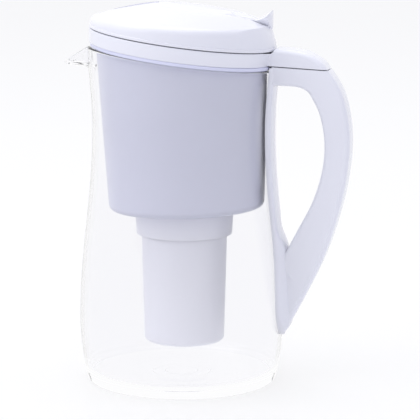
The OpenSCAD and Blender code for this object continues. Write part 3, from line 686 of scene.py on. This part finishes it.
def buildCollar():
    sides = 256
    side = np.linspace(0, 2 * np.pi, sides, endpoint=False)
    front = (np.cos(side) < 0) & (np.abs(np.sin(side)) * 64 < lid["frontHalf"])  # thicker over the spout
    hole = -lid["shift"] * np.cos(side) + np.sqrt(lid["fill"] ** 2 - (lid["shift"] * np.sin(side)) ** 2)
    inner = np.where(front, lid["innerFront"], lid["inner"])
    ledge = np.minimum(inner, 60.8)
    low, top, deck, foot, edge = (lid[key] for key in ("low", "top", "deck", "foot", "edge"))
    skirtIn, skirt, skirtLow = (lid[key] for key in ("skirtIn", "skirt", "skirtLow"))
    profile = [(ledge, low)] + arc(foot - edge, low + edge, edge, -85, 0, 4)
    profile += [(foot + (lid["collar"] - foot) * (z - low) / (top - low), z) for z in (-8, -5.5, -3)]
    profile += arc(lid["collar"] - 0.05 - edge, top - edge, edge, 0, 90, 4) + [(60.0, top)]
    profile += [(hole + 0.5, top), (hole + 0.1, -0.5), (hole, -0.85), (hole, -2.2), (hole + 0.3, deck)]
    profile += [(skirtIn, deck), (skirtIn, skirtLow + 0.3), (skirtIn + 0.3, skirtLow)]
    profile += [(skirt - 0.3, skirtLow), (skirt, skirtLow + 0.3), (skirt, deck)]
    profile += [(inner, deck), (inner, low + 1.5), (ledge, low + 1.5)]
    rows = [np.stack([r * np.cos(side), r * np.sin(side), np.full(sides, float(z))], -1) for r, z in profile]
    return makeObject("lidCollar", np.concatenate(rows), gridFaces(len(rows), sides, True), 35, lidMatrix)


# Section of the tail that covers the handle's top, open below
def tailLoop(depth, xo, zo, xi, zi):
    half, edge = gripSize["half"], gripSize["outerRound"]
    inside = half - gripSize["wall"]
    loop = arc(edge, half - edge, edge, 180, 90, 8) + [(depth, half), (depth, inside)]
    loop += arc(gripSize["wall"] + 1.7, inside - 1.7, 1.7, 90, 180, 5)
    return loop + [(s, -y) for s, y in loop[::-1]]


def buildTail():
    keep = path[:perStation * 5 + 1]
    tail = sweep("lidTail", keep, tailLoop)
    cutPlane(tail, slitPoint(slit["gap"] / 2), -slitNormal)
    back = lidMatrix.inverted()
    root = lid["tailRoot"]  # inside the collar's wall
    for v in tail.data.vertices:
        p = back @ v.co / mm
        if math.hypot(p.x, p.y) < root:
            p.x = math.sqrt(root ** 2 - p.y ** 2)
            v.co = lidMatrix @ (p * mm)
    return tail


hingeMatrix = lidMatrix @ Matrix.Translation((hinge["x"] * mm, 0, hinge["z"] * mm))
collar = combine(buildCollar(), buildTail(), "UNION")
groove = rod("groove", hinge["groove"], hinge["grooveHalf"], hingeMatrix)
for s in (-1, 1):  # the groove narrows to both sides
    near, reach = hinge["grooveHalf"] - 0.1, hinge["grooveReach"]
    profile = [(0, near), (hinge["groove"], near), (hinge["grooveEnd"], reach), (0, reach)]
    turn = hingeMatrix @ Matrix.Rotation(math.radians(-90 * s), 4, "X")
    groove = combine(groove, lathe("grooveEnd", profile, 96, turn, 35, False), "UNION")
groove = combine(groove, block("grooveFront", (-20, -30, -20), (-3.5, 30, 20), hingeMatrix), "DIFFERENCE")
collar = combine(collar, groove, "DIFFERENCE")
chamfer = lidMatrix @ Matrix.Translation((-lid["collar"] * mm, 0, -5.5 * mm))  # the way out over the spout
chamfer = chamfer @ Matrix.Rotation(math.radians(45), 4, "Y")
collar = combine(collar, block("chamferCut", (-20, -18, -30), (40, 18, 0), chamfer), "DIFFERENCE")
leaning = hingeMatrix @ Matrix.Rotation(math.radians(hinge["open"] - 90), 4, "Y")
for s in (-1, 1):
    middle, half = s * hinge["middle"], hinge["half"]
    knuckle = rod("knuckle", hinge["knuckle"], half, hingeMatrix @ Matrix.Translation((0, middle * mm, 0)))
    arm = block("knuckleArm", (-9, middle - half, -2.3), (0, middle + half, 1), leaning)
    collar = combine(collar, combine(knuckle, arm, "UNION"), "UNION")
collar = combine(collar, rod("pinHole", hinge["pin"], hinge["pinHalf"], hingeMatrix, 48), "DIFFERENCE")
place(soften(collar, 0.3, 50), whiteGloss, "lid_body", "white_gloss", "lid_collar")
print("collar done")

# Flip lid: a round dome with a leaning rear, a thumb scoop and a tab
dome = {"inset": 0.6, "height": 25, "crown": 150, "tilt": 4, "shoulder": 6, "wall": 2.2,
        "lip": 2.5, "gap": 0.35}
rear = {"shift": -9.9, "reach": 76, "low": 3.1, "high": 17, "edge": 7, "lean": 23}
scoop = {"across": 42.6, "round": 23.3, "depth": 5.6, "fall": 8, "half": 66,
         "bowl": 40, "bowlHalf": 50, "ease": 0.2}
tab = {"width": 12.4, "height": 24.4, "foot": 15.1, "front": 40, "back": 62.2, "lean": 7, "round": 33}
recess = {"middle": -31, "length": 34.6, "width": 22.6, "depth": 1.5, "lean": 13}


# Round dome, leaning forward
def domeForm(inset, low=-20):
    r = lid["collar"] - dome["inset"] - inset
    top = dome["height"] - inset
    e = dome["shoulder"] - inset / 2
    flat = r - e
    profile = [(0, low), (r, low)]
    slope = math.degrees(math.asin(flat / dome["crown"]))
    profile += arc(flat, top - flat ** 2 / (2 * dome["crown"]) - e, e, 0, 90 - slope, 20)
    profile += [(q, top - q * q / (2 * dome["crown"])) for q in np.linspace(flat, 0, 40)[1:]]
    tilt = lidMatrix @ Matrix.Rotation(math.radians(-dome["tilt"]), 4, "Y")
    return lathe("domeForm", profile, 288, tilt, 30, False)


# Keeps the dome's rear inside a wall that leans forward
def rearForm(inset, low):
    lean = math.radians(rear["lean"])
    x = rear["reach"] - (rear["high"] - rear["low"]) * math.tan(lean) - rear["edge"] * math.cos(lean)
    z = rear["high"] - rear["edge"] * math.sin(lean)
    e = rear["edge"] - inset
    profile = [(0, low), (rear["reach"] - inset, low), (rear["reach"] - inset, rear["low"])]
    profile += arc(x, z, e, rear["lean"], 88, 16) + [(0, z + e + 1)]
    shifted = lidMatrix @ Matrix.Translation((rear["shift"] * mm, 0, 0))
    return lathe("rearForm", profile, 360, shifted, 30, False)


# Two rods that fall to both sides, inside a long one that closes the scoop's ends
def scoopRods(grow):
    rods = []
    bottom = dome["height"] - scoop["depth"]
    low = lidMatrix @ Matrix.Translation((scoop["across"] * mm, 0, bottom * mm))
    for s in (-1, 1):
        turn = low @ Matrix.Rotation(math.radians(s * scoop["fall"]), 4, "X")
        turn = turn @ Matrix.Translation((0, 0, scoop["round"] * mm))
        rods.append(rod("scoop", scoop["round"] + grow, scoop["half"], turn, 320))
    both = combine(rods[0], rods[1], "UNION", 25)
    high = bottom - scoop["ease"] + scoop["bowl"]
    along = lidMatrix @ Matrix.Translation((scoop["bowlHalf"] * mm, 0, high * mm))
    along = along @ Matrix.Rotation(math.radians(90), 4, "Z")
    bowl = rod("scoopBowl", scoop["bowl"] + grow, scoop["bowlHalf"], along, 480)
    return combine(both, bowl, "INTERSECT", 25)


# Wedge that is pointed below, as seen from behind
def buildTab():
    rise = tab["height"] - tab["foot"]
    shares = [(0.82, 0.7), (0.59, 0.41), (0.24, 0.11)]  # of the tab's width and height, from the top down
    side = [(1.35 * tab["width"], tab["height"] + 0.6 * rise)]
    side += [(w * tab["width"], tab["foot"] + h * rise) for w, h in shares]
    loop = side + [(0, tab["foot"])] + [(-y, z) for y, z in side[::-1]]
    points = [(x, y, z) for x in (tab["front"], tab["front"] + 50) for y, z in loop]
    faces = gridFaces(2, len(loop)) + endFaces(2, len(loop))
    wedge = makeObject("thumbTab", points, faces, 30, lidMatrix)
    lean = lidMatrix @ Matrix.Translation(((tab["back"] - tab["round"]) * mm, 0, tab["foot"] * mm))
    lean = lean @ Matrix.Rotation(math.radians(-tab["lean"]), 4, "Y")
    profile = [(0, -30), (tab["round"], -30), (tab["round"], 30), (0, 30)]
    return combine(wedge, lathe("tabRear", profile, 360, lean, 30, False), "INTERSECT", 25)


# Oval recess for the blank badge
def badgeRecess():
    tilt = lidMatrix @ Matrix.Translation((recess["middle"] * mm, 0, 0))
    tilt = tilt @ Matrix.Rotation(math.radians(-dome["tilt"] - recess["lean"]), 4, "Y")
    oval = tilt @ Matrix.Diagonal((recess["length"] / 2, recess["width"] / 2, 1, 1))
    cut = lathe("badgeRecess", [(0, 0), (1, 0), (1, 34), (0, 34)], 160, oval, 35, False)
    return combine(cut, domeForm(recess["depth"]), "DIFFERENCE", 30)


flip = combine(domeForm(0), rearForm(0, dome["gap"]), "INTERSECT", 25)
lip = [(0, dome["gap"]), (lid["collar"] - 0.4, dome["gap"])]
lip += arc(lid["collar"] - 0.4, dome["gap"] + 0.4, 0.4, -80, 0, 4)
lip += arc(lid["collar"] - 0.6, dome["lip"] - 0.6, 0.6, 0, 90, 5) + [(0, dome["lip"])]
flip = combine(flip, lathe("lip", lip, 288, lidMatrix, 35, False), "UNION", 25)
flip = combine(flip, buildTab(), "UNION", 25)
flip = combine(flip, scoopRods(0), "DIFFERENCE", 25)
inside = combine(domeForm(dome["wall"]), rearForm(dome["wall"], -3), "INTERSECT", 25)
inside = combine(inside, scoopRods(dome["wall"]), "DIFFERENCE", 25)
inside = combine(inside, block("hingeBlock", (-12, -11.5, -9), (20, 11.5, 7), hingeMatrix), "DIFFERENCE", 25)
flip = combine(flip, inside, "DIFFERENCE", 25)
for s in (-1, 1):
    middle, half = s * hinge["middle"], hinge["half"] + hinge["play"]
    slot = rod("slot", hinge["knuckle"] + 0.35, half, hingeMatrix @ Matrix.Translation((0, middle * mm, 0)))
    deep = block("slotDeep", (-10.5, middle - half, -9), (2.85, middle + half, 1.35), hingeMatrix)
    flip = combine(flip, combine(slot, deep, "UNION"), "DIFFERENCE", 25)
flip = combine(flip, rod("pinBore", hinge["pin"] + 0.05, 5, hingeMatrix, 48), "DIFFERENCE", 25)
flip = combine(flip, badgeRecess(), "DIFFERENCE", 25)
place(soften(flip, 0.3, 30, 3), whiteGloss, "flip_body", "white_gloss", "flip_shell")
print("flip lid done")

# Floor, backdrop and light
stage = {"low": (0.975, 0.975, 0.98), "high": (0.99, 0.99, 0.99), "rough": 0.3, "shadow": 0.3,
         "height": 0.12, "left": -6000, "right": 6000, "near": -4000, "far": 9000}
light = {"sky": (0.84, 0.855, 1.0), "skyStrength": 0.74, "size": 2.4, "tint": (1, 0.99, 0.96)}
lamps = {
    "leftSoftbox": {"spot": (-2.0, -1.2, 1.6), "aim": (0, 0, 0.15), "power": 13},
    "topSoftbox": {"spot": (-0.3, 0.1, 2.2), "aim": (0, 0, 0.2), "power": 25},
}


# The camera's own rays, and those by gloss or through the clear plastic
def seenRays(tree):
    rays = tree.nodes.new("ShaderNodeLightPath")
    glossy = tree.nodes.new("ShaderNodeMath")
    glossy.operation = "MAXIMUM"
    tree.links.new(rays.outputs["Is Glossy Ray"], glossy.inputs[0])
    tree.links.new(rays.outputs["Is Transmission Ray"], glossy.inputs[1])
    return rays.outputs["Is Camera Ray"], glossy.outputs[0]


def mixShaders(tree, factor, first, second):
    mix = tree.nodes.new("ShaderNodeMixShader")
    if isinstance(factor, float):
        mix.inputs[0].default_value = factor
    else:
        tree.links.new(factor, mix.inputs[0])
    tree.links.new(first.outputs[0], mix.inputs[1])
    tree.links.new(second.outputs[0], mix.inputs[2])
    return mix


# The floor is white to the eye and in the clear plastic, and keeps a soft shadow
def floorMaterial():
    material, tree, shader, coord = nodeTree("floorGloss")
    soft = noise(tree, coord, 3, 2)
    tone = ramp(tree, soft.outputs[0], stage["low"], stage["high"])
    tree.links.new(tone.outputs[0], shader.inputs["Base Color"])
    rough = ramp(tree, soft.outputs[0], (stage["rough"],) * 3, (stage["rough"] * 1.1,) * 3)
    tree.links.new(rough.outputs[0], shader.inputs["Roughness"])
    glow = tree.nodes.new("ShaderNodeEmission")
    glow.inputs["Strength"].default_value = 1
    direct, through = seenRays(tree)
    faint = mixShaders(tree, 1 - stage["shadow"], shader, glow)
    plain = mixShaders(tree, direct, shader, faint)
    whole = mixShaders(tree, through, plain, glow)
    tree.links.new(whole.outputs[0], tree.nodes["Material Output"].inputs["Surface"])
    return material


# It lies a hair above the jug's underside, so that the jug's thick bottom doesn't trap light
corners = [(stage["left"], stage["near"]), (stage["right"], stage["near"]),
           (stage["right"], stage["far"]), (stage["left"], stage["far"])]
floor = makeObject("floor", [(x, y, stage["height"]) for x, y in corners], [(0, 1, 2, 3)])
paint(floor, floorMaterial())

world = bpy.data.worlds.new("world")
bpy.context.scene.world = world
world.use_nodes = True
tree = world.node_tree
tree.nodes.clear()
out = tree.nodes.new("ShaderNodeOutputWorld")
lit = tree.nodes.new("ShaderNodeBackground")
lit.inputs["Color"].default_value = (*light["sky"], 1)
lit.inputs["Strength"].default_value = light["skyStrength"]
seen = tree.nodes.new("ShaderNodeBackground")
seen.inputs["Color"].default_value = (1, 1, 1, 1)
seen.inputs["Strength"].default_value = 1
direct, through = seenRays(tree)
either = tree.nodes.new("ShaderNodeMath")
either.operation = "MAXIMUM"
tree.links.new(direct, either.inputs[0])
tree.links.new(through, either.inputs[1])
tree.links.new(mixShaders(tree, either.outputs[0], lit, seen).outputs[0], out.inputs[0])


for name, lamp in lamps.items():
    data = bpy.data.lights.new(name, "AREA")
    data.shape = "RECTANGLE"
    data.size = data.size_y = light["size"]
    data.energy = lamp["power"]
    data.color = light["tint"]
    obj = bpy.data.objects.new(name, data)
    obj.location = lamp["spot"]
    obj.rotation_euler = (Vector(lamp["spot"]) - Vector(lamp["aim"])).to_track_quat("Z", "Y").to_euler()
    bpy.context.scene.collection.objects.link(obj)
print("stage done")

bpy.context.scene.view_settings.view_transform = "Standard"

bpy.context.view_layer.update()
